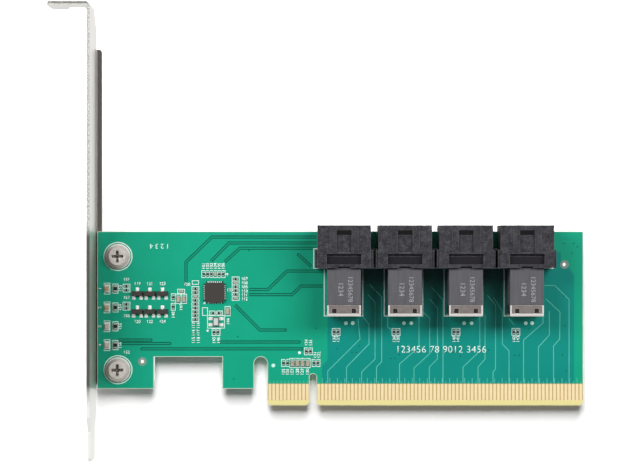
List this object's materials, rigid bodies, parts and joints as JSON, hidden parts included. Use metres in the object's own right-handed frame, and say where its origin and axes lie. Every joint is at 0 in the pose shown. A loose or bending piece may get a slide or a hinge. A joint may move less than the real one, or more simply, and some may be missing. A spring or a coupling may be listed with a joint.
{
  "type": "nvme adapter card",
  "caption": "Full-height PCI Express adapter card with right-angle drive-cable sockets along its top edge, a gilded contact edge and a folded steel slot bracket.",
  "frame": {"origin": "middle of the key slot, at the contact edge, in the board's mid-plane", "axes": "+X from the bracket to the tail end, +Z from the contact edge up to the socket mouths, components face -Y"},
  "size_m": [0.1414, 0.0196, 0.12],
  "materials": {
    "board": "green solder mask on glass epoxy",
    "gilt": "hard gilded copper",
    "plated_steel": "bright plated sheet",
    "screw_steel": "bright plated",
    "housing_plastic": "fine moulded",
    "wafer_plastic": "fine moulded",
    "clip_steel": "stamped, satin",
    "amber_lens": "clear epoxy over an amber die",
    "clear_lens": "clear epoxy",
    "white_ceramic": "white laminate",
    "tin": "matt tin",
    "black_epoxy": "moulded epoxy",
    "dark_ceramic": "fired ceramic",
    "crystal_lid": "plated lid",
    "resistor_black": "glazed film",
    "capacitor_brown": "fired ceramic"
  },
  "bodies": {
    "root": {"circuit_board": "board", "edge_contacts_front": "gilt", "edge_contacts_back": "gilt", "mounting_bracket": "plated_steel", "upper_bracket_screw": "screw_steel", "lower_bracket_screw": "screw_steel", "led_1": "amber_lens", "led_2": "amber_lens", "led_3": "clear_lens", "led_4": "clear_lens", "led_bases": "white_ceramic", "led_terminals": "tin", "transistor_leads": "tin", "clock_chip": "black_epoxy", "clock_chip_lands": "tin", "crystal_lands": "tin", "crystal_base": "dark_ceramic", "crystal_lid": "crystal_lid", "resistor_bodies": "resistor_black", "resistor_terminals": "tin", "capacitor_bodies": "capacitor_brown", "capacitor_terminals": "tin", "socket_1_housing": "housing_plastic", "socket_1_wafer_stack": "wafer_plastic", "socket_1_rear_clip": "clip_steel", "socket_1_contacts": "gilt", "socket_2_housing": "housing_plastic", "socket_2_wafer_stack": "wafer_plastic", "socket_2_rear_clip": "clip_steel", "socket_2_contacts": "gilt", "socket_3_housing": "housing_plastic", "socket_3_wafer_stack": "wafer_plastic", "socket_3_rear_clip": "clip_steel", "socket_3_contacts": "gilt", "socket_4_housing": "housing_plastic", "socket_4_wafer_stack": "wafer_plastic", "socket_4_rear_clip": "clip_steel", "socket_4_contacts": "gilt", "transistor_1": "black_epoxy", "transistor_2": "black_epoxy", "transistor_3": "black_epoxy", "transistor_4": "black_epoxy", "transistor_5": "black_epoxy", "transistor_6": "black_epoxy"}
  },
  "joints": []
}
